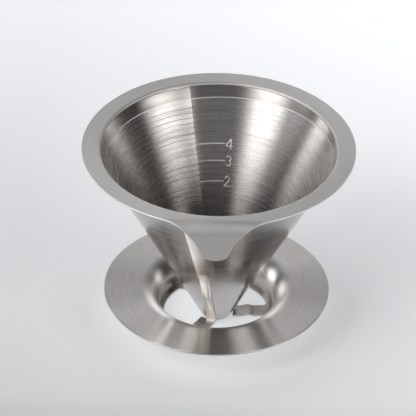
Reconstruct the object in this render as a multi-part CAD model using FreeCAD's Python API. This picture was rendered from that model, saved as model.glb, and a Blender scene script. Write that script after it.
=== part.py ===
"""Pour over dripper in stainless steel sheet, in millimetres.

The frame has +Z up and its origin at the bottom centre. The front of the object, with the
tongue on the rim, faces -Y. Azimuths are in degrees from the front, positive towards +X.
Depths are counted down from the rim plane.
"""
import FreeCAD, Part
import math
import os

Vector = FreeCAD.Vector

# Whole object
HEIGHT = 98.0            # rim plane above the surface that the dripper stands on
CONE_SLOPE = 0.52        # how fast both cones narrow: radius lost for each mm of depth
WALL_RISE = math.sqrt(1 + CONE_SLOPE ** 2)    # radial thickness of a cone wall / its sheet
CONE_ANGLE = math.degrees(math.atan(CONE_SLOPE))

# Rim flange and its tongue
RIM_RADIUS = 65.5
MOUTH_RADIUS = 57.0      # inner wall, carried up to the rim plane
MOUTH_ROUNDING = 1.2
FLANGE_SHEET = 0.8
LIP_DEPTH = 1.3          # turned-down lip inside the flange
TONGUE_BEND_LINE = 59.9  # where the tongue starts to bend down, in front of the axis
TONGUE_BEND_RADIUS = 5.0
TONGUE_LENGTH = 28.0     # straight part, before its end is rounded
TONGUE_FLARE = ((16.2, 2.83), (14.1, 4.6), (11.5, 8.7))    # half width, depth
TONGUE_NECK = (8.5, 15.6)
TONGUE_END_RADIUS = 6.0
TONGUE_END_DEPTH = 29.4

# Filter cones
OUTER_RADIUS = 58.0      # outer wall's outside, carried up to the rim plane
OUTER_SHEET = 0.4
OUTER_TOP_DEPTH = FLANGE_SHEET
OUTER_BOTTOM_DEPTH = 97.8
OUTER_LAP_AZIMUTHS = (-17.4, -7.0)
INNER_SHEET = 0.4
INNER_TOP_DEPTH = LIP_DEPTH
INNER_BOTTOM_DEPTH = 96.6
INNER_LAP_AZIMUTHS = (-164.0, -154.0)
LAP_STEP = 0.2           # how far a rolled lap seam stands proud
SLIP = 0.05              # clearance between sheets that lie against each other
OVERLAP = 1.0            # how far a shape runs past the face where it is joined or cut

# Cup scale raised on the inner cone
SCALE_DEPTHS = (26.9, 34.4, 43.4)
SCALE_AZIMUTHS = (-183.5, -165.0)
SCALE_LINE_WIDTH = 0.7
SCALE_LINE_RISE = 0.15

# Disc that closes the inner cone's tip
TIP_SHEET = 0.4

# Base plate with its throat
BASE_RADIUS = 55.1
BASE_SHEET = 0.9
BASE_DEPTH = 82.1        # top face of the plate
THROAT_RADIUS = 28.0
THROAT_ROUNDING = 9.0
THROAT_BOTTOM_DEPTH = 97.0

# Spoke ring under the throat
SPOKE_COUNT = 3
RING_INNER_RADIUS = 25.8
RING_OUTER_RADIUS = THROAT_RADIUS + BASE_SHEET
SPOKE_SHEET = HEIGHT - THROAT_BOTTOM_DEPTH
SPOKE_WIDTH = 7.8
SPOKE_AZIMUTH = -27.5
SPOKE_FILLET = 2.6
SPOKE_INNER_RADIUS = 8.2
ARCH_RADII = (12.8, 16.0, 19.6)    # start, crest and end of the arch along a spoke
ARCH_RISE = 0.7

# Straps on the cone
STRAP_AZIMUTH = -13.8
STRAP_SKEW = 2.6         # how much further round a strap's top is than its foot
STRAP_WIDTH = 4.6
STRAP_SHEET = 0.8
STRAP_TOP_DEPTH = 54.0
STRAP_TOP_GAP = 0.3      # the strap leaves the cone slowly towards its foot
STRAP_FOOT_GAP = 0.5
STRAP_BEND_RADIUS = 1.1
STRAP_FOOT_RADIUS = 10.6
STRAP_NAMES = ("strap_front", "strap_rear_right", "strap_rear_left")
THIRD_TURN = 360.0 / SPOKE_COUNT


def level(depth):
    """Height above the standing surface of a depth below the rim plane."""
    return HEIGHT - depth


def wall_radius(rim_radius, depth):
    """Radius at a depth of a cone surface that has rim_radius at the rim plane."""
    return rim_radius - CONE_SLOPE * depth


def outline(points):
    """Closed polygon from (radius, height) pairs in the XZ plane."""
    corners = [Vector(r, 0, z) for r, z in points]
    return Part.makePolygon(corners + corners[:1])


def line(start, end):
    """Edge between two (radius, height) pairs in the XZ plane."""
    return Part.makeLine(Vector(start[0], 0, start[1]), Vector(end[0], 0, end[1]))


def arc(centre, radius, start, end):
    """Arc in the XZ plane, between two angles in degrees from +X towards +Z."""
    points = []
    for angle in (start, (start + end) / 2, end):
        turn = math.radians(angle)
        points.append(Vector(centre[0] + radius * math.cos(turn), 0,
                             centre[1] + radius * math.sin(turn)))
    return Part.Arc(*points).toShape()


def spin(wire, azimuths=(0.0, 360.0)):
    """Solid swept by a closed XZ wire about the vertical axis, between two azimuths."""
    face = Part.Face(wire)
    face.rotate(Vector(), Vector(0, 0, 1), azimuths[0] - 90)
    return face.revolve(Vector(), Vector(0, 0, 1), azimuths[1] - azimuths[0])


def turned(shape, azimuth):
    """Copy of a shape turned about the vertical axis."""
    copy = shape.copy()
    copy.rotate(Vector(), Vector(0, 0, 1), azimuth)
    return copy


def cone_shell(rim_radius, sheet, top_depth, bottom_depth, azimuths=(0.0, 360.0)):
    """Conical sheet whose outside has rim_radius at the rim plane."""
    wall = sheet * WALL_RISE
    top = wall_radius(rim_radius, top_depth)
    bottom = wall_radius(rim_radius, bottom_depth)
    return spin(outline([(top, level(top_depth)), (bottom, level(bottom_depth)),
                         (bottom - wall, level(bottom_depth)), (top - wall, level(top_depth))]),
                azimuths)


def flange_ring():
    """Flat annulus whose inner edge turns down into a short conical lip."""
    corner = MOUTH_ROUNDING * math.tan(math.radians((90 - CONE_ANGLE) / 2))
    lip_in = wall_radius(MOUTH_RADIUS, LIP_DEPTH - SLIP)
    lip_out = wall_radius(OUTER_RADIUS, LIP_DEPTH - SLIP) - OUTER_SHEET * WALL_RISE - SLIP
    root_out = wall_radius(OUTER_RADIUS, FLANGE_SHEET) - OUTER_SHEET * WALL_RISE - SLIP
    centre = (MOUTH_RADIUS + corner, HEIGHT - MOUTH_ROUNDING)
    wall_turn = 180 - CONE_ANGLE
    foot = (centre[0] + MOUTH_ROUNDING * math.cos(math.radians(wall_turn)),
            centre[1] + MOUTH_ROUNDING * math.sin(math.radians(wall_turn)))
    edges = [line((RIM_RADIUS, HEIGHT), (centre[0], HEIGHT)),
             arc(centre, MOUTH_ROUNDING, 90, wall_turn),
             line(foot, (lip_in, level(LIP_DEPTH - SLIP))),
             line((lip_in, level(LIP_DEPTH - SLIP)), (lip_out, level(LIP_DEPTH - SLIP))),
             line((lip_out, level(LIP_DEPTH - SLIP)), (root_out, level(FLANGE_SHEET))),
             line((root_out, level(FLANGE_SHEET)), (RIM_RADIUS, level(FLANGE_SHEET))),
             line((RIM_RADIUS, level(FLANGE_SHEET)), (RIM_RADIUS, HEIGHT))]
    return spin(Part.Wire(edges))


def tongue_strip(half_width):
    """Strip that continues the flange forwards and bends down beside the cone."""
    centre = (TONGUE_BEND_LINE, HEIGHT - TONGUE_BEND_RADIUS)
    inner = TONGUE_BEND_RADIUS - FLANGE_SHEET
    turn = math.radians(-CONE_ANGLE)
    normal = (math.cos(turn), math.sin(turn))
    down = (-TONGUE_LENGTH * math.cos(math.radians(90 - CONE_ANGLE)),
            -TONGUE_LENGTH * math.sin(math.radians(90 - CONE_ANGLE)))
    outer_end = (centre[0] + TONGUE_BEND_RADIUS * normal[0],
                 centre[1] + TONGUE_BEND_RADIUS * normal[1])
    inner_end = (centre[0] + inner * normal[0], centre[1] + inner * normal[1])
    outer_tip = (outer_end[0] + down[0], outer_end[1] + down[1])
    inner_tip = (inner_end[0] + down[0], inner_end[1] + down[1])
    edges = [arc(centre, TONGUE_BEND_RADIUS, 90, -CONE_ANGLE),
             line(outer_end, outer_tip),
             line(outer_tip, inner_tip),
             line(inner_tip, inner_end),
             arc(centre, inner, -CONE_ANGLE, 90),
             line((centre[0], level(FLANGE_SHEET)), (centre[0], HEIGHT))]
    face = Part.Face(Part.Wire(edges))
    face.rotate(Vector(), Vector(0, 0, 1), -90)
    face.translate(Vector(-half_width, 0, 0))
    return face.extrude(Vector(2 * half_width, 0, 0))


def tongue_outline(half_width):
    """Front view of the tongue: flared at the rim, tapered, with a round end."""
    end_centre = HEIGHT - TONGUE_END_DEPTH + TONGUE_END_RADIUS
    neck = Vector(TONGUE_NECK[0], 0, level(TONGUE_NECK[1]))
    reach = math.hypot(neck.x, neck.z - end_centre)
    lean = math.atan2(neck.z - end_centre, neck.x) - math.acos(TONGUE_END_RADIUS / reach)
    touch = Vector(TONGUE_END_RADIUS * math.cos(lean), 0,
                   end_centre + TONGUE_END_RADIUS * math.sin(lean))
    flare = Part.BSplineCurve()
    points = [Vector(half_width, 0, HEIGHT)]
    points += [Vector(x, 0, level(depth)) for x, depth in TONGUE_FLARE]
    flare.interpolate(Points=points + [neck], InitialTangent=Vector(-1, 0, 0),
                      FinalTangent=(touch - neck).normalize())
    above = HEIGHT + OVERLAP
    side = [Part.makeLine(Vector(half_width, 0, above), Vector(half_width, 0, HEIGHT)),
            flare.toShape(),
            Part.makeLine(neck, touch)]
    mirror = [edge.mirror(Vector(), Vector(1, 0, 0)) for edge in side]
    end = Part.Arc(touch, Vector(0, 0, level(TONGUE_END_DEPTH)), Vector(-touch.x, 0, touch.z))
    top = Part.makeLine(Vector(half_width, 0, above), Vector(-half_width, 0, above))
    face = Part.Face(Part.Wire(Part.__sortEdges__(side + mirror + [end.toShape(), top])))
    face.translate(Vector(0, -RIM_RADIUS - OVERLAP, 0))
    return face.extrude(Vector(0, RIM_RADIUS, 0))


def rim_flange():
    """Flange and tongue, pressed from one sheet."""
    half_width = math.sqrt(RIM_RADIUS ** 2 - TONGUE_BEND_LINE ** 2)
    front = Part.makeBox(2 * half_width, RIM_RADIUS, HEIGHT + OVERLAP,
                         Vector(-half_width, -TONGUE_BEND_LINE - RIM_RADIUS, 0))
    tongue = tongue_strip(half_width).common(tongue_outline(half_width))
    return flange_ring().cut(front).fuse(tongue).removeSplitter()


def outer_filter_cone():
    """Outer perforated sheet, with the step of its lap seam."""
    shell = cone_shell(OUTER_RADIUS, OUTER_SHEET, OUTER_TOP_DEPTH + SLIP, OUTER_BOTTOM_DEPTH)
    lap = cone_shell(OUTER_RADIUS + LAP_STEP * WALL_RISE, OUTER_SHEET / 2 + LAP_STEP,
                     OUTER_TOP_DEPTH + SLIP, OUTER_BOTTOM_DEPTH, OUTER_LAP_AZIMUTHS)
    return shell.fuse(lap).removeSplitter()


def scale_line(depth):
    """One raised line of the cup scale, on the inner wall."""
    middle = wall_radius(MOUTH_RADIUS, depth)
    half = SCALE_LINE_WIDTH / 2
    rise = SCALE_LINE_RISE * WALL_RISE
    sink = INNER_SHEET / 2
    return spin(outline([(middle + sink + half * CONE_SLOPE, level(depth - half)),
                         (middle - rise + half * CONE_SLOPE, level(depth - half)),
                         (middle - rise - half * CONE_SLOPE, level(depth + half)),
                         (middle + sink - half * CONE_SLOPE, level(depth + half))]),
                SCALE_AZIMUTHS)


def inner_filter_cone():
    """Inner mesh sheet, with a lap seam and a raised cup scale."""
    outside = MOUTH_RADIUS + INNER_SHEET * WALL_RISE
    shell = cone_shell(outside, INNER_SHEET, INNER_TOP_DEPTH, INNER_BOTTOM_DEPTH)
    lap = cone_shell(MOUTH_RADIUS + INNER_SHEET / 2, INNER_SHEET / 2 + LAP_STEP,
                     INNER_TOP_DEPTH, INNER_BOTTOM_DEPTH, INNER_LAP_AZIMUTHS)
    return shell.fuse([lap] + [scale_line(depth) for depth in SCALE_DEPTHS]).removeSplitter()


def tip_disc():
    """Mesh disc under the inner cone's open tip, inside the outer cone."""
    depth = INNER_BOTTOM_DEPTH + TIP_SHEET
    radius = wall_radius(OUTER_RADIUS, depth) - OUTER_SHEET * WALL_RISE - SLIP
    return Part.makeCylinder(radius, TIP_SHEET, Vector(0, 0, level(depth)))


def base_plate():
    """Flat plate whose middle rolls down into a round throat."""
    top = level(BASE_DEPTH)
    under = top - BASE_SHEET
    bottom = level(THROAT_BOTTOM_DEPTH)
    outside = THROAT_RADIUS + BASE_SHEET
    centre = (THROAT_RADIUS + THROAT_ROUNDING, top - THROAT_ROUNDING)
    edges = [line((BASE_RADIUS, top), (centre[0], top)),
             arc(centre, THROAT_ROUNDING, 90, 180),
             line((THROAT_RADIUS, centre[1]), (THROAT_RADIUS, bottom)),
             line((THROAT_RADIUS, bottom), (outside, bottom)),
             line((outside, bottom), (outside, centre[1])),
             arc(centre, THROAT_ROUNDING - BASE_SHEET, 180, 90),
             line((centre[0], under), (BASE_RADIUS, under)),
             line((BASE_RADIUS, under), (BASE_RADIUS, top))]
    return spin(Part.Wire(edges))


def ramp(start, end):
    """Smooth S-shaped edge in the XZ plane, level at both ends."""
    middle = (start[0] + end[0]) / 2
    curve = Part.BezierCurve()
    curve.setPoles([Vector(start[0], 0, start[1]), Vector(middle, 0, start[1]),
                    Vector(middle, 0, end[1]), Vector(end[0], 0, end[1])])
    return curve.toShape()


def spoke():
    """One arched spoke along +X, from beside the cone's tip into the ring."""
    start, crest, end = ARCH_RADII
    last = RING_INNER_RADIUS + OVERLAP
    edges = []
    for base in (0.0, SPOKE_SHEET):
        edges += [line((SPOKE_INNER_RADIUS, base), (start, base)),
                  ramp((start, base), (crest, base + ARCH_RISE)),
                  ramp((crest, base + ARCH_RISE), (end, base)),
                  line((end, base), (last, base))]
    edges += [line((radius, 0), (radius, SPOKE_SHEET)) for radius in (SPOKE_INNER_RADIUS, last)]
    face = Part.Face(Part.Wire(Part.__sortEdges__(edges)))
    face.translate(Vector(0, -SPOKE_WIDTH / 2, 0))
    return face.extrude(Vector(0, SPOKE_WIDTH, 0))


def fillet_wedge(side):
    """Fillet between a spoke's side and the ring's inner edge, side is 1 or -1."""
    edge = SPOKE_WIDTH / 2
    centre_y = edge + SPOKE_FILLET
    centre_x = math.sqrt((RING_INNER_RADIUS - SPOKE_FILLET) ** 2 - centre_y ** 2)
    reach = RING_INNER_RADIUS / (RING_INNER_RADIUS - SPOKE_FILLET)
    on_ring = Vector(centre_x * reach, side * centre_y * reach, 0)
    on_spoke = Vector(centre_x, side * edge, 0)
    behind = Vector(RING_INNER_RADIUS + OVERLAP, side * centre_y * reach, 0)
    inside = Vector(RING_INNER_RADIUS + OVERLAP, side * (edge - OVERLAP), 0)
    under = Vector(centre_x, side * (edge - OVERLAP), 0)
    wire = Part.makePolygon([on_ring, behind, inside, under, on_spoke, on_ring])
    block = Part.Face(wire).extrude(Vector(0, 0, SPOKE_SHEET))
    hollow = Part.makeCylinder(SPOKE_FILLET, SPOKE_SHEET, Vector(centre_x, side * centre_y, 0))
    return block.cut(hollow)


def spoke_ring():
    """Flat ring with three spokes that run in to the cone's tip."""
    ring = Part.makeCylinder(RING_OUTER_RADIUS, SPOKE_SHEET)
    ring = ring.cut(Part.makeCylinder(RING_INNER_RADIUS, SPOKE_SHEET))
    arm = spoke().fuse([fillet_wedge(1), fillet_wedge(-1)])
    arms = [turned(arm, SPOKE_AZIMUTH - 90 + THIRD_TURN * n) for n in range(SPOKE_COUNT)]
    return ring.fuse(arms).removeSplitter()


def strap_section(near, far):
    """Cross-section of a strap along +X, between two (radius, height) pairs."""
    half = STRAP_WIDTH / 2
    corners = [Vector(near[0], -half, near[1]), Vector(near[0], half, near[1]),
               Vector(far[0], half, far[1]), Vector(far[0], -half, far[1])]
    return Part.makePolygon(corners + corners[:1])


def strap():
    """One strap along +X: it leans on the cone, and its foot turns out onto a spoke."""
    outer = wall_radius(OUTER_RADIUS, STRAP_TOP_DEPTH) + STRAP_TOP_GAP
    top = (outer, level(STRAP_TOP_DEPTH))
    bend_z = SPOKE_SHEET + STRAP_BEND_RADIUS
    lower = (wall_radius(OUTER_RADIUS, level(bend_z)) + STRAP_FOOT_GAP, bend_z)
    lean = math.atan2(top[0] - lower[0], top[1] - lower[1])
    normal = (math.cos(lean), -math.sin(lean))
    centre = (lower[0] + STRAP_BEND_RADIUS / normal[0], bend_z)
    inner = STRAP_BEND_RADIUS - STRAP_SHEET
    start = 180 - math.degrees(lean)
    cone_side = (centre[0] - STRAP_BEND_RADIUS * normal[0],
                 centre[1] - STRAP_BEND_RADIUS * normal[1])
    far_side = (centre[0] - inner * normal[0], centre[1] - inner * normal[1])
    top_far = (top[0] + STRAP_SHEET * normal[0], top[1] + STRAP_SHEET * normal[1])
    foot_top = SPOKE_SHEET + STRAP_SHEET
    edges = [line(far_side, cone_side),
             arc(centre, STRAP_BEND_RADIUS, start, 270),
             line((centre[0], SPOKE_SHEET), (STRAP_FOOT_RADIUS, SPOKE_SHEET)),
             line((STRAP_FOOT_RADIUS, SPOKE_SHEET), (STRAP_FOOT_RADIUS, foot_top)),
             line((STRAP_FOOT_RADIUS, foot_top), (centre[0], foot_top)),
             arc(centre, inner, 270, start)]
    foot = Part.Face(Part.Wire(edges))
    foot.translate(Vector(0, -STRAP_WIDTH / 2, 0))
    sections = [strap_section(cone_side, far_side),
                turned(strap_section(top, top_far), STRAP_SKEW)]
    length = Part.makeLoft(sections, True, True)
    return length.fuse(foot.extrude(Vector(0, STRAP_WIDTH, 0))).removeSplitter()


def build():
    """Every node of the dripper, by name."""
    nodes = {"rim_flange": rim_flange(),
             "outer_filter_cone": outer_filter_cone(),
             "inner_filter_cone": inner_filter_cone(),
             "tip_disc": tip_disc(),
             "base_plate": base_plate(),
             "spoke_ring": spoke_ring()}
    for n, name in enumerate(STRAP_NAMES):
        nodes[name] = turned(strap(), STRAP_AZIMUTH - 90 + THIRD_TURN * n)
    return nodes


os.makedirs("parts", exist_ok=True)
for node, shape in build().items():
    shape.exportStep(f"parts/{node}.step")
    box = shape.optimalBoundingBox()
    print(f"{node}: {len(shape.Solids)} solid, valid {shape.isValid()}, {shape.Volume:.0f} mm3, "
          f"z {box.ZMin:.2f} to {box.ZMax:.2f}, x {box.XMin:.2f} to {box.XMax:.2f}")
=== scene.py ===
"""Looks of the pour over dripper: detailed sheet-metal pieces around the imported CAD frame.

Lengths are in millimetres until a mesh is made, which is in metres, as are shader heights and
distances. +Z is up and the front, with the tongue, faces -Y. Azimuths are in degrees from the
front, positive towards +X, and depths are counted down from the rim plane.
"""
import math

import bmesh
import bpy
import numpy as np
from mathutils import Matrix, Vector


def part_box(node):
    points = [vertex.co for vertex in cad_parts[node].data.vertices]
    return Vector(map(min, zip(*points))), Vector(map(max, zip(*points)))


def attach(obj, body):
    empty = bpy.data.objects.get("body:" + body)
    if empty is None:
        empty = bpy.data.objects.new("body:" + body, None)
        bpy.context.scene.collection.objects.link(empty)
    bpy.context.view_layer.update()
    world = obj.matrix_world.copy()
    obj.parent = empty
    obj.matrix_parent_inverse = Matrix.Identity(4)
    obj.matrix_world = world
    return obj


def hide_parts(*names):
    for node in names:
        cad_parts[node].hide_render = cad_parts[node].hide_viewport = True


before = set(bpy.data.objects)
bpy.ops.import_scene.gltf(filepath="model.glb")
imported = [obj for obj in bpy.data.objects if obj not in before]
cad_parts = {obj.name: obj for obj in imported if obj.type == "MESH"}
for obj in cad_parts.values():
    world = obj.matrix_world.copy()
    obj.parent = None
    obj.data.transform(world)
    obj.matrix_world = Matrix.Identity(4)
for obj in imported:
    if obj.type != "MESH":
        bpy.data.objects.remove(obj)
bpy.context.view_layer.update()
MM = 0.001


def box_mm(node):
    """Lowest and highest corner of a CAD node, in millimetres."""
    low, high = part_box(node)
    return np.array(low) / MM, np.array(high) / MM


# Driving sizes from the frame
HEIGHT = box_mm("rim_flange")[1][2]
RIM_RADIUS = box_mm("rim_flange")[1][0]
BASE_RADIUS = box_mm("base_plate")[1][0]
BASE_TOP = box_mm("base_plate")[1][2]
THROAT_BOTTOM = box_mm("base_plate")[0][2]
RING_RADIUS = box_mm("spoke_ring")[1][0]
OUTER_BOTTOM = box_mm("outer_filter_cone")[0][2]
INNER_BOTTOM = box_mm("inner_filter_cone")[0][2]
DISC_RADIUS = box_mm("tip_disc")[1][0]
DISC_BOTTOM, DISC_TOP = box_mm("tip_disc")[0][2], box_mm("tip_disc")[1][2]

# Cones
SLOPE = 0.52
CONE_ANGLE = math.atan(SLOPE)
INNER_WALL = 57.0            # the wall inside the mouth, carried up to the rim plane
OUTER_WALL = 58.0
CONE_SHEET = 0.4
OUTER_TOP_DEPTH = 0.85
INNER_TOP_DEPTH = 1.3
OUTER_SEAM, OUTER_SEAM_END = -17.4, -7.0
INNER_SEAM, INNER_SEAM_END = -164.0, -150.0
SEAM_GAP = 0.05              # between the mesh columns at a seam, in degrees
LAP_FADE_START = 4.0         # how far round from the seam the lap's finish starts to fade
LAP_STEP = 0.2
SPRING = 7.0                 # how far the sheet's sprung end turns at the seam, in degrees
BAND_DEPTH = 5.35            # the plain band at the top of the inner sheet
BAND_SWAY, BAND_SWAY_AZIMUTH = 1.67, -149.0
BAND_EDGE = 0.35             # width of the bright edge below the band, a painted highlight
ETCH_DEPTH = 0.06
DISC_CORNER = 0.08
AXIS_HOLE = 0.02             # radius that a ring's mesh keeps clear of the axis

# Flange and tongue
FLANGE_SHEET = 0.8
MOUTH_ROUNDING = 1.2
LIP_DEPTH = 1.25
LIP_SHEET = 0.35
RIM_CORNER = 0.36            # rounding of the flange's outer edge
FLANGE_ROWS = range(1, 44)
FLANGE_SPACING = ((0, 3, 26, 43), (0.0, 0.08, 0.34, 1.0))    # rows, share of the flat part
BEND_LINE = 59.9
BEND_RADIUS = 5.0
TONGUE_FLARE = ((16.2, 2.83), (14.1, 4.6), (11.5, 8.7), (8.5, 15.6))    # half width, depth
TONGUE_END_RADIUS = 6.0
TONGUE_END_DEPTH = 29.4

# Base plate, spoke ring and straps
BASE_SHEET = 0.9
THROAT_RADIUS = RING_RADIUS - BASE_SHEET
THROAT_ROUNDING = 9.0
THIRD_TURN = 120.0           # between spokes, and between straps
RING_INNER_RADIUS = 25.8
SPOKE_SHEET = 1.0
SPOKE_WIDTH = 7.8
SPOKE_AZIMUTH = -27.5
SPOKE_START = 8.2
SPOKE_FILLET = 2.6
SPOKE_CORNER = 0.18
SHARP_ANGLE = 50.0           # edges sharper than this are rounded
ARCH_RADII = (12.8, 16.0, 19.6)    # start, crest and end of the arch along a spoke
ARCH_RISE = 0.7
STRAP_AZIMUTH = -13.8
STRAP_SKEW = 2.6             # how much further round a strap's top is than its foot, in degrees
STRAP_WIDTH = 4.6
STRAP_SHEET = 0.8
STRAP_TOP_DEPTH = 54.0
STRAP_TOP_GAP = 0.1
STRAP_FOOT_GAP = 0.5
STRAP_BEND_RADIUS = 1.1
STRAP_FOOT_RADIUS = 10.6
STRAP_FOOT_LENGTH = 4.0      # bend and foot, measured along the strap
STRAP_CURL = 0.5             # a strap's curve across, as a share of the cone's
STRAP_FEATHER = 10.0         # length over which a strap's top thins out
STRAP_TIP_SHARE = 0.04       # of the sheet that is left at the very top
STRAP_STEP = 0.22            # mesh rows along a strap
EDGE_WIDTH, EDGE_DROP = 0.6, 0.8    # of a strap's turned-down long edges
WELD_START, WELD_PITCH = 1.6, 3.7
WELD_RADIUS, WELD_DEPTH = 0.42, 0.16
STRAPS = ("strap_front", "strap_rear_right", "strap_rear_left")

# Cup scale
SCALE_DEPTHS = {"4": 26.9, "3": 34.4, "2": 43.4}
SCALE_AZIMUTHS = (-183.5, -165.0)
NUMERAL_AZIMUTH = -186.3
NUMERAL_HEIGHT = 4.9
NUMERAL_WIDTH = 3.4
STROKE_WIDTH = 0.62
STROKE_RISE = 0.24
STROKE_SINK = 0.02           # how far a ridge's foot is below the wall
LINE_WIDTH = 0.7
CAP_LEANS = (30, 60, 88)     # of the shells that round off a ridge's ends, in degrees

# Mesh
TURNS = 720                  # columns round the axis
CORNER = 0.15                # rounding of a sheet's cut edge
ARC_STEPS = 4
WELD_DISTANCE = 0.0001       # points nearer than this are one point


# ---------------------------------------------------------------- mesh code

def around(count):
    """Azimuths all the way round, in degrees."""
    return np.linspace(-180.0, 180.0, count, endpoint=False)


def at(radius, azimuth, height):
    """Points from cylindrical coordinates, azimuth in degrees."""
    turn = np.radians(azimuth)
    return np.stack(np.broadcast_arrays(radius * np.sin(turn), -radius * np.cos(turn), height), -1)


def arc(centre, radius, start, end, steps=ARC_STEPS):
    """Points on an arc in the plane, between two angles in degrees."""
    turn = np.radians(np.linspace(start, end, steps + 1))
    return np.stack([centre[0] + radius * np.cos(turn), centre[1] + radius * np.sin(turn)], 1)


def even(start, end, count):
    """Evenly spaced points from start to end, both included."""
    return np.linspace(np.array(start, float), np.array(end, float), count)


def unit(vectors):
    """Vectors of length one in the same directions."""
    return vectors / np.linalg.norm(vectors, axis=-1, keepdims=True)


def sheet_outline(face, sheet, corner=CORNER, start_corner=None):
    """Closed outline of a sheet. One side follows the points of face, the other lies to the right
    of their direction, and both ends have rounded corners that reach a corner past the face."""
    start_corner = corner if start_corner is None else start_corner
    along = unit(np.gradient(face, axis=0))
    right = np.stack([along[:, 1], -along[:, 0]], 1)
    back = face + right * np.reshape(sheet, (-1, 1))
    quarter = np.linspace(0, math.pi / 2, ARC_STEPS + 1)[1:, None]

    def cap(tip, side, out, thick, corner):
        first = tip + side * corner + corner * (out * np.sin(quarter) - side * np.cos(quarter))
        last = tip + side * (thick - corner) + corner * (side * np.sin(quarter[:-1])
                                                         + out * np.cos(quarter[:-1]))
        return np.concatenate([first, last])

    thick = np.broadcast_to(np.reshape(sheet, -1), (len(face),))
    end = cap(face[-1], right[-1], along[-1], thick[-1], corner)
    start = cap(face[0], right[0], -along[0], thick[0], start_corner)[::-1]
    return np.concatenate([face, end, back[::-1], start])


def mesh_object(name, points, faces, smooth_angle=40.0):
    """Mesh object from points in millimetres. Faces point outwards and shading is smooth."""
    mesh = bpy.data.meshes.new(name)
    mesh.from_pydata((np.asarray(points) * MM).tolist(), [], faces)
    work = bmesh.new()
    work.from_mesh(mesh)
    bmesh.ops.remove_doubles(work, verts=work.verts, dist=WELD_DISTANCE * MM)
    bmesh.ops.recalc_face_normals(work, faces=work.faces)
    work.to_mesh(mesh)
    work.free()
    mesh.shade_smooth()
    mesh.set_sharp_from_angle(angle=math.radians(smooth_angle))
    obj = bpy.data.objects.new(name, mesh)
    bpy.context.scene.collection.objects.link(obj)
    return obj


def grid_faces(rows, columns, wrap_rows=False, wrap_columns=False, first=0):
    """Quads of a grid of points, rows by columns, numbered row by row from first."""
    faces = []
    for i in range(rows if wrap_rows else rows - 1):
        for j in range(columns if wrap_columns else columns - 1):
            a, b = i * columns, (i + 1) % rows * columns
            k = (j + 1) % columns
            faces.append((first + a + j, first + a + k, first + b + k, first + b + j))
    return faces


def lathe(name, outline_at, azimuths=None):
    """Closed ring. outline_at(azimuth) is its closed outline there, as (radius, height) points."""
    azimuths = around(TURNS) if azimuths is None else azimuths
    outlines = [outline_at(azimuth) for azimuth in azimuths]
    rings = [at(o[:, 0], azimuth, o[:, 1]) for azimuth, o in zip(azimuths, outlines)]
    return mesh_object(name, np.array(rings).reshape(-1, 3),
                       grid_faces(len(rings), len(rings[0]), True, True))


def finish_piece(obj, materials, slot, *nodes):
    """Gives a piece its materials and ties it to the frame."""
    for material in materials:
        obj.data.materials.append(material)
    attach(obj, "root")
    if nodes:
        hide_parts(*nodes)


# ---------------------------------------------------------------- flange and tongue

def bend_length():
    """Length of the bend, measured on the tongue's show face."""
    return BEND_RADIUS * (math.pi / 2 + CONE_ANGLE)


def reach_of_depth(depth):
    """Distance along the tongue's show face from the bend line to a depth."""
    bend_depth = BEND_RADIUS * (1 + math.sin(CONE_ANGLE))
    if depth < bend_depth:
        return BEND_RADIUS * math.acos(1 - depth / BEND_RADIUS)
    return bend_length() + (depth - bend_depth) / math.cos(CONE_ANGLE)


def curve_through(knots, first_tangent, last_tangent, steps=14):
    """Smooth curve through points in the plane, without the last one, with these end tangents."""
    chords = np.linalg.norm(np.diff(knots, axis=0), axis=1)
    slopes = np.diff(knots, axis=0) / chords[:, None]
    middle = unit(slopes[:-1] * chords[1:, None] + slopes[1:] * chords[:-1, None])
    tangents = np.concatenate([[first_tangent], middle, [last_tangent]])
    t = np.linspace(0, 1, steps + 1)[:-1, None]
    pieces = []
    for k, chord in enumerate(chords):
        pieces.append((2 * t ** 3 - 3 * t ** 2 + 1) * knots[k]
                      + (3 * t ** 2 - 2 * t ** 3) * knots[k + 1]
                      + chord * ((t ** 3 - 2 * t ** 2 + t) * tangents[k]
                                 + (t ** 3 - t ** 2) * tangents[k + 1]))
    return np.concatenate(pieces)


def tongue_side():
    """Right side of the tongue in the flat sheet, as (x, distance in front of the axis)."""
    half = math.sqrt(RIM_RADIUS ** 2 - BEND_LINE ** 2)
    knots = np.array([(x, reach_of_depth(depth)) for x, depth in ((half, 0.0),) + TONGUE_FLARE])
    last = knots[-1]
    centre = reach_of_depth(TONGUE_END_DEPTH - TONGUE_END_RADIUS)
    gap = np.hypot(last[0], centre - last[1])
    lean = math.atan2(last[1] - centre, last[0]) + math.acos(TONGUE_END_RADIUS / gap)
    end = arc((0.0, centre), TONGUE_END_RADIUS, math.degrees(lean), 90.0, 28)
    on_circle = np.array([-BEND_LINE, half]) / RIM_RADIUS
    flare = curve_through(knots, on_circle, unit(end[0] - last))
    side = np.concatenate([flare, even(last, end[0], 9)[:-1], end])
    side[:, 1] += BEND_LINE
    return side


def bent(points):
    """Flat-sheet points (x, y, height) with what lies in front of the bend line bent down."""
    x, y, z = points.T
    ahead = np.maximum(-y - BEND_LINE, 0.0)
    turn = np.minimum(ahead, bend_length()) / BEND_RADIUS
    rest = ahead - turn * BEND_RADIUS
    inset = HEIGHT - z
    radius = BEND_RADIUS - inset
    forward = radius * np.sin(turn) + rest * np.cos(turn)
    height = HEIGHT - BEND_RADIUS + radius * np.cos(turn) - rest * np.sin(turn)
    in_front = ahead > 0
    return np.stack([x, np.where(in_front, -BEND_LINE - forward, y),
                     np.where(in_front, height, z)], 1)


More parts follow.
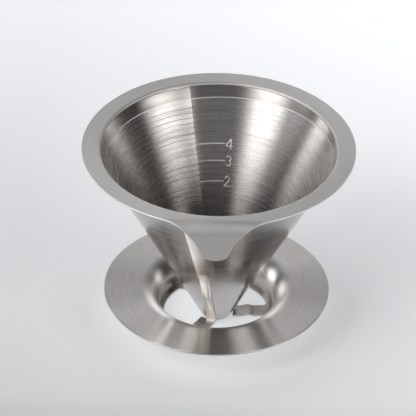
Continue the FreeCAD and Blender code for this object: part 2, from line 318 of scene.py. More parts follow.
def make_rim_flange():
    """Flange with its lip and tongue, one sheet. The rounded outer edge is its second material."""
    side = tongue_side()
    azimuth = np.degrees(np.arctan2(side[:, 0], side[:, 1]))
    reach = np.hypot(side[:, 0], side[:, 1])
    circle = np.linspace(azimuth[0], 360 - azimuth[0], TURNS)[1:-1]
    azimuths = np.concatenate([azimuth[::-1], circle, 360 - azimuth[:-1]])
    reaches = np.concatenate([reach[::-1], np.full(len(circle), RIM_RADIUS), reach[:-1]])
    corner = MOUTH_ROUNDING * math.tan((math.pi / 2 - CONE_ANGLE) / 2)
    flat_start = INNER_WALL + corner
    wall_turn = 180 - math.degrees(CONE_ANGLE)
    rounding = arc((flat_start, HEIGHT - MOUTH_ROUNDING), MOUTH_ROUNDING, wall_turn, 90, 10)
    lip = np.array([INNER_WALL - SLOPE * (LIP_DEPTH - CORNER), HEIGHT - LIP_DEPTH + CORNER])
    inner = np.concatenate([[lip], rounding])
    inner_sheet = np.linspace(LIP_SHEET, FLANGE_SHEET, len(inner))
    steps = np.interp(FLANGE_ROWS, *FLANGE_SPACING)
    rings = []
    for turn, edge in zip(azimuths, reaches):
        flat = flat_start + (edge - RIM_CORNER - flat_start) * steps
        face = np.concatenate([inner, np.stack([flat, np.full(len(flat), HEIGHT)], 1)])
        sheet = np.concatenate([inner_sheet, np.full(len(flat), FLANGE_SHEET)])
        outline = sheet_outline(face, sheet, RIM_CORNER, CORNER)
        rings.append(bent(at(outline[:, 0], turn, outline[:, 1])))
    rows, columns = len(rings), len(rings[0])
    obj = mesh_object("rim_flange_sheet", np.array(rings).reshape(-1, 3),
                      grid_faces(rows, columns, True, True))
    rounded = range(len(face) - 1, len(face) + ARC_STEPS - 1)
    for number, polygon in enumerate(obj.data.polygons):
        if number % columns in rounded:
            polygon.material_index = 1
    return obj


# ---------------------------------------------------------------- cones

def wall(rim_radius, depth):
    """Points of a cone's wall at these depths."""
    return np.stack([rim_radius - SLOPE * depth, HEIGHT - depth], 1)


def sprung_lap(azimuth, seam, end):
    """Share of the radius by which a rolled sheet stands off beside its seam, and how much of the
    lap's step it has there. Both fade out towards the other end."""
    along = (azimuth - seam) / (end - seam)
    if not 0 <= along <= 1:
        return 0.0, 0.0
    width = math.radians(abs(end - seam))
    return width * math.radians(SPRING) * along * (1 - along) ** 2, (1 - along)


def seam_azimuths(seam):
    """Azimuths round the axis, with three close together at the seam."""
    plain = around(TURNS)
    plain = plain[np.abs(plain - seam) > SEAM_GAP * 2]
    return np.sort(np.concatenate([plain, [seam - SEAM_GAP, seam, seam + SEAM_GAP]]))


def make_outer_cone():
    """Outer sheet, with the step of its lap seam beside the tongue. The lap is its second
    material."""
    top, bottom = OUTER_TOP_DEPTH + CORNER, HEIGHT - OUTER_BOTTOM - CORNER
    face = wall(OUTER_WALL, np.linspace(top, bottom, 110))

    def outline_at(azimuth):
        share, step = sprung_lap(azimuth, OUTER_SEAM, OUTER_SEAM_END)
        outline = sheet_outline(face, CONE_SHEET)
        outline[:, 0] += outline[:, 0] * share + LAP_STEP * step
        return outline

    obj = lathe("outer_cone_sheet", outline_at, seam_azimuths(OUTER_SEAM))
    for polygon in obj.data.polygons:
        x, y, _ = polygon.center
        if OUTER_SEAM < math.degrees(math.atan2(x, -y)) < OUTER_SEAM_END:
            polygon.material_index = 1
    return obj


def band_depth(azimuth):
    """Depth of the line between the plain band and the mesh. The sheet is rolled slightly askew."""
    return BAND_DEPTH + BAND_SWAY * np.cos(np.radians(azimuth - BAND_SWAY_AZIMUTH))


def make_inner_cone():
    """Inner mesh sheet: a plain band at the top, etched mesh below it and a lap seam at the back.
    The band and the edge below it are its second and third material."""
    top, bottom = INNER_TOP_DEPTH + CORNER, HEIGHT - INNER_BOTTOM - CORNER

    def outline_at(azimuth):
        line = band_depth(azimuth)
        depth = np.concatenate([np.linspace(top, line - BAND_EDGE, 10),
                                np.linspace(line, bottom, 104)])
        recess = np.where(depth < line - BAND_EDGE / 2, 0.0, ETCH_DEPTH)
        face = wall(INNER_WALL, depth) + np.stack([recess, np.zeros(len(depth))], 1)
        outline = sheet_outline(face[::-1], CONE_SHEET)
        share, step = sprung_lap(azimuth, INNER_SEAM, INNER_SEAM_END)
        outline[:, 0] -= outline[:, 0] * share + LAP_STEP * step
        return outline

    obj = lathe("inner_cone_mesh", outline_at, seam_azimuths(INNER_SEAM))
    for polygon in obj.data.polygons:
        x, y, z = np.array(polygon.center) / MM
        above = band_depth(math.degrees(math.atan2(x, -y))) - (HEIGHT - z)
        if above > BAND_EDGE:
            polygon.material_index = 1
        elif above > 0:
            polygon.material_index = 2
    return obj


def make_tip_disc():
    """Mesh disc that closes the tip, with a rounded edge."""
    face = even((AXIS_HOLE, DISC_TOP), (DISC_RADIUS - CORNER, DISC_TOP), 16)
    outline = sheet_outline(face, DISC_TOP - DISC_BOTTOM, DISC_CORNER)
    return lathe("tip_disc_mesh", lambda azimuth: outline, around(180))


# ---------------------------------------------------------------- cup scale

def ridge(path, width, rise):
    """Half-round ridge along points (distance to the right, distance up the slant) in the wall's
    own plane. Returns grid points (right, up, rise)."""
    along = unit(np.gradient(path, axis=0))
    across = np.stack([-along[:, 1], along[:, 0]], 1)
    turn = np.linspace(0, math.pi, 9)
    rows = []
    for point, side in zip(path, across):
        flat = point + np.outer(np.cos(turn) * width / 2, side)
        rows.append(np.concatenate([flat, (np.sin(turn) * rise)[:, None]], 1))

    def cap(row, ahead, point):
        shells = []
        for lean in CAP_LEANS:
            shrink = math.cos(math.radians(lean))
            moved = row.copy()
            moved[:, :2] = point + (row[:, :2] - point) * shrink
            moved[:, :2] += ahead * math.sin(math.radians(lean)) * width / 2
            moved[:, 2] = row[:, 2] * shrink
            shells.append(moved)
        return shells

    start = cap(rows[0], -along[0], path[0])[::-1]
    return np.array(start + rows + cap(rows[-1], along[-1], path[-1]))


def numeral_stroke(numeral):
    """Stroke of a plain numeral in a box one wide and one high, from its lower left corner."""
    if numeral == "4":
        return np.concatenate([even((0.72, 0.0), (0.72, 0.97), 12),
                               even((0.70, 1.0), (0.04, 0.30), 12),
                               even((0.08, 0.27), (1.0, 0.27), 12)])
    if numeral == "3":
        top = arc((0.48, 0.745), 0.255, 150, -70, 16)
        low = arc((0.48, 0.27), 0.27, 80, -150, 18)
        return np.concatenate([top, low]) * (1.15, 1.0)
    top = arc((0.5, 0.72), 0.28, 165, -25, 16)
    neck = even((0.70, 0.50), (0.10, 0.02), 8)
    foot = even((0.16, 0.0), (0.95, 0.0), 8)
    return np.concatenate([top, neck, foot]) * (1.1, 1.0)


def on_wall(points, azimuth, depth):
    """Wall points from (right, up the slant, rise) about a place on the inner wall, as it is seen
    from inside."""
    right, up, rise = points.T
    slant = depth - up * math.cos(CONE_ANGLE)
    radius = INNER_WALL - SLOPE * slant
    turn = azimuth - np.degrees(right / radius)
    inward = rise - STROKE_SINK
    height = HEIGHT - slant + inward * math.sin(CONE_ANGLE)
    return at(radius - inward * math.cos(CONE_ANGLE), turn, height)


def make_cup_scale():
    """Raised lines and numerals of the cup scale."""
    points, faces = [], []
    middle = sum(SCALE_AZIMUTHS) / 2
    for numeral, depth in SCALE_DEPTHS.items():
        radius = INNER_WALL - SLOPE * depth
        half = math.radians(SCALE_AZIMUTHS[1] - SCALE_AZIMUTHS[0]) / 2 * radius
        line = even((-half, 0), (half, 0), 60)
        stroke = (numeral_stroke(numeral) - (0.5, 0.5)) * (NUMERAL_WIDTH, NUMERAL_HEIGHT)
        for path, azimuth, width in ((line, middle, LINE_WIDTH),
                                     (stroke, NUMERAL_AZIMUTH, STROKE_WIDTH)):
            grid = ridge(path, width, STROKE_RISE)
            faces += grid_faces(grid.shape[0], grid.shape[1], first=sum(map(len, points)))
            points.append(on_wall(grid.reshape(-1, 3), azimuth, depth))
    return mesh_object("cup_scale", np.concatenate(points), faces, 80)


# ---------------------------------------------------------------- base plate

def make_base_plate():
    """Plate whose middle rolls down into the round throat."""
    centre = (THROAT_RADIUS + THROAT_ROUNDING, BASE_TOP - THROAT_ROUNDING)
    throat = even((THROAT_RADIUS, THROAT_BOTTOM + CORNER), (THROAT_RADIUS, centre[1]), 8)
    flat = even((centre[0], BASE_TOP), (BASE_RADIUS - CORNER, BASE_TOP), 24)
    face = np.concatenate([throat[:-1], arc(centre, THROAT_ROUNDING, 180, 90, 28), flat[1:]])
    outline = sheet_outline(face, BASE_SHEET)
    return lathe("base_plate_sheet", lambda azimuth: outline)


# ---------------------------------------------------------------- spoke ring

def arch(radius):
    """Height by which a spoke's arch rises at a radius."""
    start, crest, end = ARCH_RADII
    t = np.interp(radius, (start, crest, end), (0.0, 1.0, 0.0))
    return ARCH_RISE * t * t * (3 - 2 * t)


class Slab:
    """Level sheet put together from grids of (x, y) points, each with a top and a bottom."""

    def __init__(self):
        self.points, self.faces = [], []

    def add(self, flat, heights, closed):
        """Adds the top and bottom of a grid that is raised by heights. walls() then refers to it."""
        self.first = sum(map(len, self.points))
        rows, columns = flat.shape[:2]
        self.count = rows * columns
        for base in (0.0, SPOKE_SHEET):
            level = (base + heights).reshape(-1, 1)
            self.points.append(np.concatenate([flat.reshape(-1, 2), level], 1))
        for first in (self.first, self.first + self.count):
            self.faces += grid_faces(rows, columns, closed, False, first)

    def walls(self, indices):
        """Adds the walls between top and bottom along these points of the latest grid."""
        below, above = self.first, self.first + self.count
        for a, b in zip(indices[:-1], indices[1:]):
            self.faces.append((below + a, below + b, above + b, above + a))


def fillet_centre():
    """Centre of the fillet between a spoke's left side and the ring, for a spoke along +X."""
    y = SPOKE_WIDTH / 2 + SPOKE_FILLET
    return math.sqrt((RING_INNER_RADIUS - SPOKE_FILLET) ** 2 - y ** 2), y


def spoke_arm(touch, across):
    """Grid of (x, y) points of a spoke along +X: rows go out along it, to the ring's inner edge.
    Its fillets meet that edge at touch degrees to either side."""
    half = SPOKE_WIDTH / 2
    centre_x, centre_y = fillet_centre()
    straight = even((SPOKE_START, half), (centre_x, half), 36)
    fillet = arc((centre_x, centre_y), SPOKE_FILLET, -90, touch, 12)[1:]
    side = np.concatenate([straight, fillet])
    bulge = np.concatenate([np.zeros(len(straight)), np.linspace(0, 1, len(fillet) + 1)[1:]])
    share = np.sin(np.radians(across)) / math.sin(math.radians(touch))
    arm = []
    for (x, y), bow in zip(side, bulge):
        ys = y * share
        ahead = np.sqrt(RING_INNER_RADIUS ** 2 - ys ** 2) - math.sqrt(RING_INNER_RADIUS ** 2 - y * y)
        arm.append(np.stack([x + bow * ahead, ys], 1))
    return np.array(arm)


def make_spoke_ring():
    """Flat ring with three arched spokes, filleted where they meet."""
    centre_x, centre_y = fillet_centre()
    touch = math.degrees(math.atan2(centre_y, centre_x))
    root = np.linspace(-touch, touch, 25)
    gap = np.linspace(touch, THIRD_TURN - touch, 120)[1:-1]
    arm = spoke_arm(touch, root)
    rows, columns = arm.shape[:2]
    rise = arch(np.hypot(arm[..., 0], arm[..., 1]))
    left = [i * columns for i in range(rows)]
    slab = Slab()
    turns = SPOKE_AZIMUTH + THIRD_TURN * np.arange(3)
    for turn in turns:
        cos, sin = math.cos(math.radians(turn - 90)), math.sin(math.radians(turn - 90))
        slab.add(arm @ np.array([[cos, sin], [-sin, cos]]), rise, False)
        slab.walls(left)
        slab.walls([i + columns - 1 for i in left])
        slab.walls(range(columns))
    around_third = np.concatenate([root, gap])
    ring_turns = (turns[:, None] + around_third).reshape(-1)
    radii = np.linspace(RING_INNER_RADIUS, RING_RADIUS, 5)
    ring = at(radii[None, :], ring_turns[:, None], 0.0)[..., :2]
    slab.add(ring, np.zeros(ring.shape[:2]), True)
    rows, columns = ring.shape[:2]
    for i in range(rows):
        start, after = i * columns, (i + 1) % rows * columns
        slab.walls([start + columns - 1, after + columns - 1])
        if i % len(around_third) >= len(root) - 1:
            slab.walls([start, after])
    obj = mesh_object("spoke_ring_sheet", np.concatenate(slab.points), slab.faces, 30)
    bevel = obj.modifiers.new("rounded_edges", "BEVEL")
    bevel.width = SPOKE_CORNER * MM
    bevel.segments = 3
    bevel.limit_method = "ANGLE"
    bevel.angle_limit = math.radians(SHARP_ANGLE)
    return obj


# ---------------------------------------------------------------- straps

def strap_path():
    """Line of a strap's cone side, from its top down to the end of its foot, as (radius, height)."""
    top = np.array([OUTER_WALL - SLOPE * STRAP_TOP_DEPTH + STRAP_TOP_GAP, HEIGHT - STRAP_TOP_DEPTH])
    bend_z = SPOKE_SHEET + STRAP_BEND_RADIUS
    lower = np.array([OUTER_WALL - SLOPE * (HEIGHT - bend_z) + STRAP_FOOT_GAP, bend_z])
    lean = math.atan2(top[0] - lower[0], top[1] - lower[1])
    centre = (lower[0] + STRAP_BEND_RADIUS / math.cos(lean), bend_z)
    bend = arc(centre, STRAP_BEND_RADIUS, 180 - math.degrees(lean), 270, 14)
    length = np.linalg.norm(top - bend[0])
    straight = even(top + (bend[0] - top) * CORNER / length, bend[0], int(length / STRAP_STEP))
    foot = even(bend[-1], (STRAP_FOOT_RADIUS - CORNER, SPOKE_SHEET), 16)
    return np.concatenate([straight[:-1], bend, foot[1:]])


def strap_lift(section, place, straight, radius):
    """How far a strap's cross-section stands off its path, at a place along its length."""
    across, thick = section.T
    fade = min(1.0, place / STRAP_FEATHER)
    edge = np.maximum(np.abs(across) - STRAP_WIDTH / 2 + EDGE_WIDTH, 0.0)
    curl = np.clip((straight - place) / STRAP_BEND_RADIUS, 0.0, 1.0)
    curl *= STRAP_CURL / (2 * (radius + STRAP_SHEET))
    lift = thick * min(1.0, STRAP_TIP_SHARE + place / STRAP_FEATHER)
    lift -= curl * across ** 2 + EDGE_DROP * edge ** 2 * fade
    nearest = round((place - WELD_START) / WELD_PITCH) * WELD_PITCH + WELD_START
    if STRAP_FEATHER < nearest < straight:
        away = np.hypot(place - nearest, across)
        dimple = WELD_DEPTH * np.exp(-(away / WELD_RADIUS) ** 2)
        lift -= np.where(thick > STRAP_SHEET * 0.9, dimple, 0.0)
    return lift


def make_strap(name, azimuth):
    """Strap with rounded edges and a row of spot welds on its straight part."""
    path = strap_path()
    travelled = np.concatenate([[0], np.cumsum(np.linalg.norm(np.diff(path, axis=0), axis=1))])
    along = unit(np.gradient(path, axis=0))
    outward = np.stack([-along[:, 1], along[:, 0]], 1)
    half = STRAP_WIDTH / 2
    section = sheet_outline(even((-half + CORNER, 0.0), (half - CORNER, 0.0), 30), STRAP_SHEET)
    section[:, 1] += STRAP_SHEET
    straight = travelled[-1] - STRAP_FOOT_LENGTH
    rings = []
    for place, (radius, height), out in zip(travelled, path, outward):
        lift = strap_lift(section, place, straight, radius)
        turn = math.radians(azimuth + STRAP_SKEW * max(0.0, 1 - place / straight))
        radial = np.array([math.sin(turn), -math.cos(turn)])
        tangent = np.array([math.cos(turn), math.sin(turn)])
        flat = (radius + out[0] * lift)[:, None] * radial + section[:, :1] * tangent
        rings.append(np.concatenate([flat, (height + out[1] * lift)[:, None]], 1))
    rows, columns = len(rings), len(section)
    faces = grid_faces(rows, columns, False, True)
    for row in (0, rows - 1):
        faces.append(tuple(range(row * columns, (row + 1) * columns)))
    return mesh_object(name + "_strip", np.array(rings).reshape(-1, 3), faces)


# ---------------------------------------------------------------- materials

MESH_PITCH = 0.75            # of the etched holes
HOLE_SIZE = 0.30             # radius of a hole, as a share of the pitch
HOLE_EDGE = (0.8, 1.2)       # of the radius, over which a hole fades out
HOLE_PAINTED_SHADE = (1.05, 0.6)     # of the colour, beside and in a hole; the darker holes are painted shade seen through them
RIB_PITCH = 2.3              # of the rings across the inner mesh
RIB_CREST = (0.75, 0.97)     # where in its wave a ring starts and is full
RIB_PAINTED_HIGHLIGHT = 0.5              # how much lighter the colour is on a ring, a painted highlight
NOISE_SPAN = (0.3, 0.7)      # what noise mostly stays within
BRUSH_SHADE = (0.92, 1.06)   # of the colour, across the fine brush marks
FINE_BRUSH = (3.0, 2600.0)   # scale round the axis and across
BROAD_BRUSH = (2.0, 260.0)
RIB_WOBBLE, RIB_WOBBLE_SIZE = (0.5, 40.0), 2.0
RIB_BREAKS, RIB_BREAK_SPAN = (0.7, 420.0), (0.38, 0.6)
RIB_WEAKEST = 0.1            # strength of a ring where it breaks off
GRAIN_HEIGHT = 0.01          # of the brush marks
# tint of the painted shade that the steel turns towards one height
PAINTED_SHADE_TONE = (1.0, 0.92, 0.84)


class Nodes:
    """Small helper that adds linked shader nodes to a material, light or world."""

    def __init__(self, owner):
        self.tree = owner.node_tree
        self.shader = self.tree.nodes.get("Principled BSDF")

    def add(self, kind, operation=None, inputs=(), **settings):
        """New node. An input is a socket to link or a plain value."""
        node = self.tree.nodes.new(kind)
        if operation:
            node.operation = operation
        for key, value in settings.items():
            setattr(node, key, value)
        for slot, value in enumerate(inputs):
            if isinstance(value, bpy.types.NodeSocket):
                self.tree.links.new(value, node.inputs[slot])
            else:
                node.inputs[slot].default_value = value
        return node

    def math(self, operation, *inputs):
        """Result of a math node."""
        return self.add("ShaderNodeMath", operation, inputs).outputs[0]

    def link(self, socket, name):
        """Feeds an input of the material's shader."""
        self.tree.links.new(socket, self.shader.inputs[name])

    def scale(self, socket, low, high, to_low, to_high):
        """Maps a value from one range to another, clamped."""
        node = self.add("ShaderNodeMapRange", inputs=(socket, low, high, to_low, to_high))
        return node.outputs[0]

    def split(self, socket):
        """The three sockets x, y and z of a vector."""
        return self.add("ShaderNodeSeparateXYZ", inputs=(socket,)).outputs

    def length(self, x, y):
        """Length of the vector (x, y)."""
        return self.math("SQRT", self.math("ADD", self.math("MULTIPLY", x, x),
                                           self.math("MULTIPLY", y, y)))

    def polar(self):
        """Sockets (x / radius, y / radius, radius, height) of the point, in metres."""
        x, y, z = self.split(self.add("ShaderNodeTexCoord").outputs["Object"])
        radius = self.length(x, y)
        return self.math("DIVIDE", x, radius), self.math("DIVIDE", y, radius), radius, z

    def holes(self, polar, seam):
        """Staggered round holes, 1 inside them, in the sheet laid out flat from its seam."""
        x, y, radius, _ = polar
        sin, cos = math.sin(math.radians(seam)), math.cos(math.radians(seam))
        across = self.math("ADD", self.math("MULTIPLY", x, -cos), self.math("MULTIPLY", y, -sin))
        ahead = self.math("ADD", self.math("MULTIPLY", x, -sin), self.math("MULTIPLY", y, cos))
        turn = self.math("MULTIPLY", self.math("ARCTAN2", across, ahead), math.sin(CONE_ANGLE))
        slant = self.math("DIVIDE", radius, math.sin(CONE_ANGLE))
        u = self.math("MULTIPLY", slant, self.math("COSINE", turn))
        v = self.math("MULTIPLY", slant, self.math("SINE", turn))
        diagonals = (self.math("ADD", u, v), self.math("SUBTRACT", u, v))
        flat = self.add("ShaderNodeCombineXYZ", inputs=diagonals)
        cell = self.add("ShaderNodeTexVoronoi", voronoi_dimensions="2D")
        self.tree.links.new(flat.outputs[0], cell.inputs["Vector"])
        cell.inputs["Scale"].default_value = 1 / (MESH_PITCH * MM * math.sqrt(2))
        cell.inputs["Randomness"].default_value = 0.0
        start, end = (HOLE_SIZE * share for share in HOLE_EDGE)
        return self.scale(cell.outputs["Distance"], start, end, 1.0, 0.0)

    def brushed(self, polar, scales, detail=3.0):
        """Noise drawn out round the axis: coarse along the circle and fine across it."""
        x, y, radius, z = polar
        around_scale, across_scale = scales
        place = (self.math("MULTIPLY", x, around_scale),
                 self.math("MULTIPLY", y, around_scale),
                 self.math("MULTIPLY", self.math("ADD", radius, z), across_scale))
        vector = self.add("ShaderNodeCombineXYZ", inputs=place)
        noise = self.add("ShaderNodeTexNoise", inputs=(vector.outputs[0],))
        noise.inputs["Scale"].default_value = 1.0
        noise.inputs["Detail"].default_value = detail
        return noise.outputs[0]


def new_material(name):
    """Material with shader nodes."""
    material = bpy.data.materials.new(name)
    material.use_nodes = True
    return material


def rib_pattern(n, polar):
    """Thin rings across the mesh, 1 on a ring, that wobble and break off here and there."""
    wobble = n.math("MULTIPLY", n.brushed(polar, RIB_WOBBLE, 0.0), RIB_WOBBLE_SIZE)
    wave = n.math("ADD", n.math("MULTIPLY", polar[3], 2 * math.pi / (RIB_PITCH * MM)), wobble)
    breaks = n.scale(n.brushed(polar, RIB_BREAKS, 1.0), *RIB_BREAK_SPAN, RIB_WEAKEST, 1.0)
    return n.math("MULTIPLY", n.scale(n.math("SINE", wave), *RIB_CREST, 0.0, 1.0), breaks)


def painted_height_shade(n, polar, colour, painted_shade):
    """Painted shade: colour that turns darker and warmer from one height to another. The argument
    gives the unshaded height, the fully shaded height and the share of the colour that is left there."""
    unshaded_height, dark, left = painted_shade
    share = n.scale(polar[3], unshaded_height, dark, 0.0, 1.0)
    mix = n.add("ShaderNodeMix", inputs=(share,), data_type="RGBA")
    mix.inputs[6].default_value = (*colour, 1)
    mix.inputs[7].default_value = (*(np.array(colour) * left * np.array(PAINTED_SHADE_TONE)), 1)
    return mix.outputs[2]


def steel(name, roughness, anisotropy, colour, grain=0.15, spread=0.04, seam=None, ribs=0.0,
          lap=None, painted_shade=None):
    """Brushed stainless steel with its grain round the axis. Roughness varies by spread. A seam
    azimuth adds the etched holes of a sheet rolled up from there, and ribs is how much rougher the
    thin rings across the mesh are. lap gives two azimuths and the roughness reached at the second."""
    material = new_material(name)
    n = Nodes(material)
    polar = n.polar()
    fine = n.brushed(polar, FINE_BRUSH)
    broad = n.brushed(polar, BROAD_BRUSH)
    n.shader.inputs["Metallic"].default_value = 1.0
    n.shader.inputs["Anisotropic"].default_value = anisotropy
    n.shader.inputs["Anisotropic Rotation"].default_value = 0.25
    tangent = n.add("ShaderNodeTangent", direction_type="RADIAL", axis="Z")
    n.link(tangent.outputs[0], "Tangent")
    rough = n.math("ADD", n.scale(broad, *NOISE_SPAN, roughness - spread, roughness + spread),
                   n.scale(fine, *NOISE_SPAN, -spread / 2, spread / 2))
    if lap:
        start, end, smoothest = lap
        turn = n.math("ARCTAN2", polar[0], n.math("MULTIPLY", polar[1], -1.0))
        change = n.scale(turn, math.radians(start), math.radians(end), 0.0, smoothest - roughness)
        rough = n.math("ADD", rough, change)
    shade = n.scale(fine, *NOISE_SPAN, *BRUSH_SHADE)
    if ribs:
        rib = rib_pattern(n, polar)
        rough = n.math("ADD", rough, n.math("MULTIPLY", rib, ribs))
        # painted highlight: the rings' colour is lighter, standing in for light that their grooves
        # catch
        painted_rib_highlight = n.math("ADD", n.math("MULTIPLY", rib, RIB_PAINTED_HIGHLIGHT), 1.0)
        shade = n.math("MULTIPLY", shade, painted_rib_highlight)
    if seam is not None:
        # painted shade: the colour is darker inside the holes, which have no depth of their own
        hole = n.holes(polar, seam)
        shade = n.math("MULTIPLY", shade, n.scale(hole, 0.0, 1.0, *HOLE_PAINTED_SHADE))
    tint = n.add("ShaderNodeVectorMath", "SCALE")
    tint.inputs[0].default_value = colour
    # painted shade: the colour turns darker and warmer towards one height
    if painted_shade:
        n.tree.links.new(painted_height_shade(n, polar, colour, painted_shade), tint.inputs[0])
    n.tree.links.new(shade, tint.inputs["Scale"])
    n.link(tint.outputs[0], "Base Color")
    n.link(rough, "Roughness")
    bump = n.add("ShaderNodeBump")
    bump.inputs["Strength"].default_value = grain
    bump.inputs["Distance"].default_value = GRAIN_HEIGHT * MM
    n.tree.links.new(fine, bump.inputs["Height"])
    n.link(bump.outputs[0], "Normal")
    return material


# ---------------------------------------------------------------- stage, lights and camera

FLOOR_REACH = 3000.0
FLOOR_GAP = 0.05             # keeps the floor clear of the object's lowest faces
FLOOR_COLOUR = (0.98, 0.985, 1.0)
GLOW_COLOUR = (0.95, 0.97, 1.0)
# painted shade and painted light on the floor: darker colour in front, glow behind, towards the right
# and under the object
# Two distances in metres and the values reached at them
FLOOR_PAINTED_SHADE = (-0.17, -0.07, 0.24, 0.72)
GLOW_BACKWARDS = (-0.08, 0.28, 0.10, 0.49)
GLOW_SIDEWAYS = (-0.1, 0.1, -0.08, 0.08)
GLOW_FROM_AXIS = (0.025, 0.065, 0.27, 0.0)


def make_floor():
    """Pale floor with painted light: it glows faintly, most under and behind the object, and painted
    shade makes it greyer in front.
    """
    corners = [(-1, -1), (1, -1), (1, 1), (-1, 1)]
    points = [(x * FLOOR_REACH, y * FLOOR_REACH, -FLOOR_GAP) for x, y in corners]
    floor = mesh_object("floor", points, [(0, 1, 2, 3)])
    material = new_material("pale_floor")
    n = Nodes(material)
    x, y, _ = n.split(n.add("ShaderNodeTexCoord").outputs["Object"])
    tint = n.add("ShaderNodeVectorMath", "SCALE")
    tint.inputs[0].default_value = FLOOR_COLOUR
    n.tree.links.new(n.scale(y, *FLOOR_PAINTED_SHADE), tint.inputs["Scale"])
    n.link(tint.outputs[0], "Base Color")
    # painted light: glow that grows behind and towards the right, and under the object
    glow = n.math("ADD", n.scale(y, *GLOW_BACKWARDS), n.scale(x, *GLOW_SIDEWAYS))
    under = n.scale(n.length(x, y), *GLOW_FROM_AXIS)
    n.link(n.math("ADD", n.math("MAXIMUM", glow, 0.0), under), "Emission Strength")
    n.shader.inputs["Emission Color"].default_value = (*GLOW_COLOUR, 1)
    n.shader.inputs["Roughness"].default_value = 0.9
    n.shader.inputs["Specular IOR Level"].default_value = 0.0
    floor.data.materials.append(material)


LIGHT_DISTANCE = 1.5         # in metres, like the sizes of the soft boxes
LIGHT_FADE = 0.42            # share of a soft box's width that each side fades over


def soft_light(name, azimuth, elevation, width, height, radiance):
    """Soft box that faces the object's rim and fades towards its upright sides."""
    data = bpy.data.lights.new(name, "AREA")
    data.shape = "RECTANGLE"
    data.size, data.size_y = width, height
    data.energy = radiance * width * height * math.pi
    data.use_nodes = True
    n = Nodes(data)
    across = n.split(n.add("ShaderNodeNewGeometry").outputs["Parametric"])[0]
    side = n.math("ABSOLUTE", n.math("SUBTRACT", across, 0.5))
    fade = n.add("ShaderNodeMapRange", inputs=(side, 0.5 - LIGHT_FADE, 0.5, 1.0, 0.0),
                 interpolation_type="SMOOTHSTEP")
    n.tree.links.new(fade.outputs[0], n.tree.nodes["Emission"].inputs["Strength"])
    obj = bpy.data.objects.new(name, data)
    turn, rise = math.radians(azimuth), math.radians(elevation)
    away = Vector((math.sin(turn) * math.cos(rise), -math.cos(turn) * math.cos(rise),
                   math.sin(rise)))
    obj.location = away * LIGHT_DISTANCE + Vector((0, 0, HEIGHT * MM))
    obj.rotation_mode = "QUATERNION"
    obj.rotation_quaternion = away.to_track_quat("Z", "Y")
    obj.visible_camera = False
    bpy.context.scene.collection.objects.link(obj)


def panel(n, direction, azimuth, half_width, low, high, edge):
    """Share of a soft-edged bright panel in a direction: 1 inside it. Angles are in degrees."""
    x, y, z = direction
    turn = math.radians(azimuth)
    facing = n.math("ADD", n.math("MULTIPLY", x, math.sin(turn)),
                    n.math("MULTIPLY", y, -math.cos(turn)))
    away = n.math("ARCCOSINE", n.math("DIVIDE", facing, n.length(x, y)))
    rise = n.math("ARCSINE", z)

    def fade(socket, start, end):
        return n.scale(socket, math.radians(start), math.radians(end), 0.0, 1.0)

    across = fade(away, half_width + edge / 2, half_width - edge / 2)
    upward = n.math("MULTIPLY", fade(rise, low - edge / 2, low + edge / 2),
                    fade(rise, high + edge / 2, high - edge / 2))
    return n.math("MULTIPLY", across, upward)


ROOM_LIGHT = 0.06
ROOM_COLOUR = (0.97, 0.98, 1.0)
PANELS = (                   # azimuth, half width, low and high elevation, soft edge, radiance
    (180, 18, -10, 28, 14, 1.9),
    (180, 30, 26, 50, 14, 0.35),
    (140, 26, -10, 16, 16, 0.9),
    (124, 7, 0, 34, 6, 1.0),
    (-113, 9, 0, 36, 6, 3.2),
    (-146, 8, 0, 30, 8, 1.8),
    (-82, 12, 0, 50, 16, 1.0),
    (180, 50, 50, 74, 12, 0.3),
    (-75, 35, 46, 72, 12, 0.6),
    (0, 180, 58, 90, 20, 0.05),
    (0, 26, 12, 34, 12, 0.4),
)


def make_room():
    """Dim room with soft bright panels."""
    world = bpy.data.worlds.new("studio")
    world.use_nodes = True
    n = Nodes(world)
    direction = n.split(n.add("ShaderNodeTexCoord").outputs["Generated"])
    total = n.add("ShaderNodeValue").outputs[0]
    total.default_value = ROOM_LIGHT
    for *place, radiance in PANELS:
        share = panel(n, direction, *place)
        total = n.math("ADD", total, n.math("MULTIPLY", share, radiance))
    background = n.tree.nodes["Background"]
    background.inputs["Color"].default_value = (*ROOM_COLOUR, 1)
    n.tree.links.new(total, background.inputs["Strength"])
    bpy.context.scene.world = world


SOFT_BOXES = (               # name, azimuth, elevation, width, height, radiance
    ("soft_box_left", -50, 27, 1.42, 1.65, 4.1),
    ("soft_box_right", 54, 15, 1.90, 0.95, 3.6),
)


def make_lights():
    """Tall soft box on the left and a lower one on the right of the camera."""
    for box in SOFT_BOXES:
        soft_light(*box)


LENS = 278.0
SENSOR = 36.0
CAMERA_AZIMUTH = 1.0
CAMERA_ELEVATION = 35.03
CAMERA_ROLL = 0.82
CAMERA_DISTANCE = 1528.7
AIM_OFFSET = (5.10, 29.11)   # of the rim's centre from the middle of the view, right and up


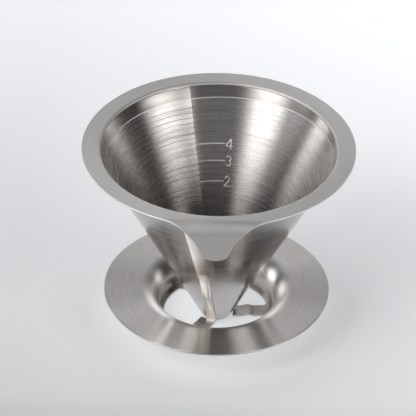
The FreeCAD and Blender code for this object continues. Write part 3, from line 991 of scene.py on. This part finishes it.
def make_camera():
    """Camera at the viewing angle, level with the room but for a slight roll."""
    data = bpy.data.cameras.new("camera")
    data.lens, data.sensor_width = LENS, SENSOR
    data.clip_start, data.clip_end = 0.01, 20.0
    camera = bpy.data.objects.new("camera", data)
    rise, roll = math.radians(CAMERA_ELEVATION), math.radians(CAMERA_ROLL)
    forward = Vector((0, math.cos(rise), -math.sin(rise)))
    right, up = Vector((1, 0, 0)), Vector((0, math.sin(rise), math.cos(rise)))
    right_rolled = math.cos(roll) * right + math.sin(roll) * up
    up_rolled = math.cos(roll) * up - math.sin(roll) * right
    turn = Matrix.Rotation(math.radians(CAMERA_AZIMUTH), 3, "Z")
    place = -(forward * CAMERA_DISTANCE + right_rolled * AIM_OFFSET[0] + up_rolled * AIM_OFFSET[1])
    matrix = Matrix((right_rolled, up_rolled, -forward)).transposed()
    camera.matrix_world = (turn @ matrix).to_4x4()
    camera.location = (turn @ place + Vector((0, 0, HEIGHT))) * MM
    bpy.context.scene.collection.objects.link(camera)
    bpy.context.scene.camera = camera
    bpy.context.scene.view_settings.view_transform = "Standard"


# ---------------------------------------------------------------- the object

OUTER_ROUGHNESS = 0.17

FLANGE_STEEL = steel("flange_steel", roughness=0.62, anisotropy=0.35, colour=(0.60, 0.585, 0.57))
# painted highlight: a brighter copy of the steel on rounded edges and on the edge below the band
EDGE_HIGHLIGHT_STEEL = steel("painted_edge_highlight_steel", roughness=0.5, anisotropy=0.0, colour=(0.80, 0.78, 0.76))
OUTER_STEEL = steel("outer_mesh_steel", roughness=OUTER_ROUGHNESS, anisotropy=0.5,
                    colour=(0.58, 0.56, 0.545), grain=0.08, seam=OUTER_SEAM)
# painted highlight: the lap's colour is far brighter than the outer sheet's; painted shade darkens it
# lower down
LAP_STEEL = steel("outer_lap_steel", roughness=0.58, anisotropy=0.85, colour=(0.95, 0.90, 0.865),
                  grain=0.08, lap=(OUTER_SEAM + LAP_FADE_START, OUTER_SEAM_END, OUTER_ROUGHNESS),
                  painted_shade=(0.060, 0.046, 0.55))
# painted shade: the inner mesh's colour turns darker and warmer deeper in the cone, towards the tip
INNER_STEEL = steel("inner_mesh_steel", roughness=0.26, anisotropy=1.0,
                    colour=(0.54, 0.515, 0.495), grain=0.05, seam=INNER_SEAM, ribs=0.26,
                    painted_shade=(0.062, 0.012, 0.28))
BAND_STEEL = steel("inner_band_steel", roughness=0.27, anisotropy=1.0, colour=(0.40, 0.375, 0.355))
# painted highlight: the raised scale's colour is much brighter than the wall's steel
SCALE_STEEL = steel("scale_steel", roughness=0.6, anisotropy=0.0, colour=(0.9, 0.88, 0.86))
BASE_STEEL = steel("base_steel", roughness=0.25, anisotropy=1.0, colour=(0.58, 0.555, 0.53),
                   grain=0.015, spread=0.004)
SPOKE_STEEL = steel("spoke_steel", roughness=0.30, anisotropy=0.2, colour=(0.50, 0.475, 0.45))
# painted highlight: the strap's colour is brighter than bare steel; painted shade darkens it towards
# its top end
STRAP_STEEL = steel("strap_steel", roughness=0.58, anisotropy=0.8, colour=(1.0, 0.955, 0.92),
                    painted_shade=(0.034, 0.045, 0.5))

finish_piece(make_rim_flange(), (FLANGE_STEEL, EDGE_HIGHLIGHT_STEEL), "flange_steel", "rim_flange")
finish_piece(make_outer_cone(), (OUTER_STEEL, LAP_STEEL), "outer_mesh_steel", "outer_filter_cone")
finish_piece(make_inner_cone(), (INNER_STEEL, BAND_STEEL, EDGE_HIGHLIGHT_STEEL), "inner_mesh_steel",
             "inner_filter_cone")
finish_piece(make_cup_scale(), (SCALE_STEEL,), "inner_mesh_steel")
finish_piece(make_tip_disc(), (INNER_STEEL,), "inner_mesh_steel", "tip_disc")
finish_piece(make_base_plate(), (BASE_STEEL,), "base_steel", "base_plate")
finish_piece(make_spoke_ring(), (SPOKE_STEEL,), "spoke_steel", "spoke_ring")
for number, strap in enumerate(STRAPS):
    finish_piece(make_strap(strap, STRAP_AZIMUTH + THIRD_TURN * number), (STRAP_STEEL,),
                 "strap_steel", strap)

make_floor()
make_room()
make_lights()
make_camera()
